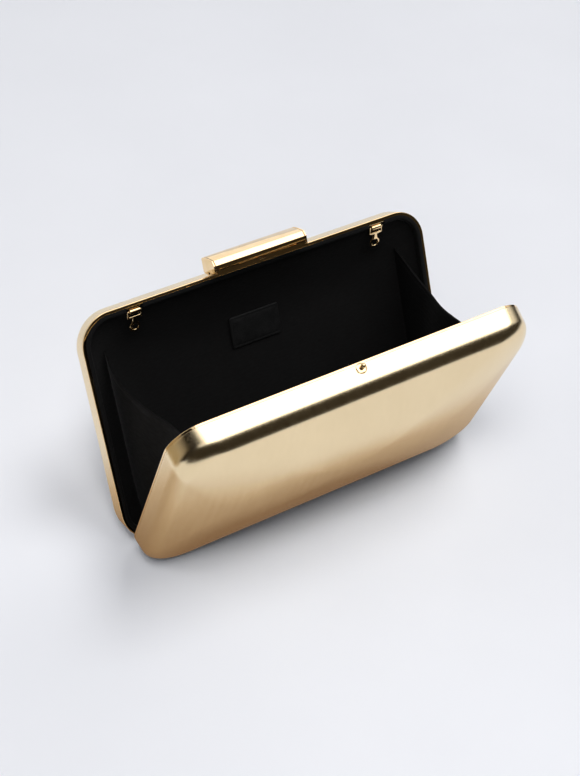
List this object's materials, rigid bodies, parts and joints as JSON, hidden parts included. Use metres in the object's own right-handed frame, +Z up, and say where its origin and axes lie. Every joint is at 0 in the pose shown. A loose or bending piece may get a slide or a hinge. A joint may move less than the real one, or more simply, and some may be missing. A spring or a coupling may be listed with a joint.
{
  "type": "clutch",
  "caption": "Hard-shell evening clutch standing open: domed halves hinged at the bottom, fabric gussets, lift-up clasp bar, ball stud and strap tabs.",
  "frame": {"origin": "on the floor under the hinge line, midway between the ends of the case", "axes": "+X to the right of someone facing the front half, +Y from the front half to the rear half, +Z up"},
  "size_m": [0.192, 0.1112, 0.1214],
  "materials": {
    "shell_gold": "metallic grained leatherette",
    "polished_gold": "polished",
    "spring_steel": "drawn wire",
    "lining_black": "matt woven lining",
    "gusset_black": "matt woven fabric",
    "label_black": "smooth leather"
  },
  "bodies": {
    "rear_half": {"rear_shell": "shell_gold", "rear_rim_frame": "polished_gold", "rear_liner": "lining_black", "hinge_pin": "polished_gold", "clasp_base": "polished_gold", "clasp_pin": "polished_gold", "clasp_spring": "spring_steel", "clasp_rivet_left": "polished_gold", "clasp_rivet_right": "polished_gold", "tab_clip_left": "polished_gold", "tab_clip_right": "polished_gold", "tab_rivet_left": "polished_gold", "tab_rivet_right": "polished_gold", "label_patch": "label_black", "gusset_left": "gusset_black", "gusset_right": "gusset_black"},
    "front_half": {"front_shell": "shell_gold", "front_rim_frame": "polished_gold", "front_liner": "lining_black", "ball_stud": "polished_gold", "stud_washer": "polished_gold"},
    "clasp": {"clasp_lever": "polished_gold", "clasp_cover": "polished_gold", "clasp_cap_left": "polished_gold", "clasp_cap_right": "polished_gold"},
    "tab_left": {"strap_tab_left": "polished_gold"},
    "tab_right": {"strap_tab_right": "polished_gold"}
  },
  "joints": [
    {"name": "shell_hinge", "type": "hinge", "parent": "rear_half", "child": "front_half", "pos_m": [0, 0, 0.00336], "axis": [-1, 0, 0], "range_deg": [0, 43.75], "deforming": ["gusset_left", "gusset_right"]},
    {"name": "clasp_lift", "type": "hinge", "parent": "rear_half", "child": "clasp", "pos_m": [0, 0.04846, 0.11279], "axis": [-1, 0, 0], "range_deg": [0, 35], "stiffness_Nm_per_rad": 0.02, "springref_deg": -17.19},
    {"name": "tab_left_swing", "type": "hinge", "parent": "rear_half", "child": "tab_left", "pos_m": [-0.0665, 0.04368, 0.10706], "axis": [1, 0, 0], "range_deg": [-60, 10]},
    {"name": "tab_right_swing", "type": "hinge", "parent": "rear_half", "child": "tab_right", "pos_m": [0.0697, 0.04368, 0.10706], "axis": [1, 0, 0], "range_deg": [-60, 10]}
  ]
}
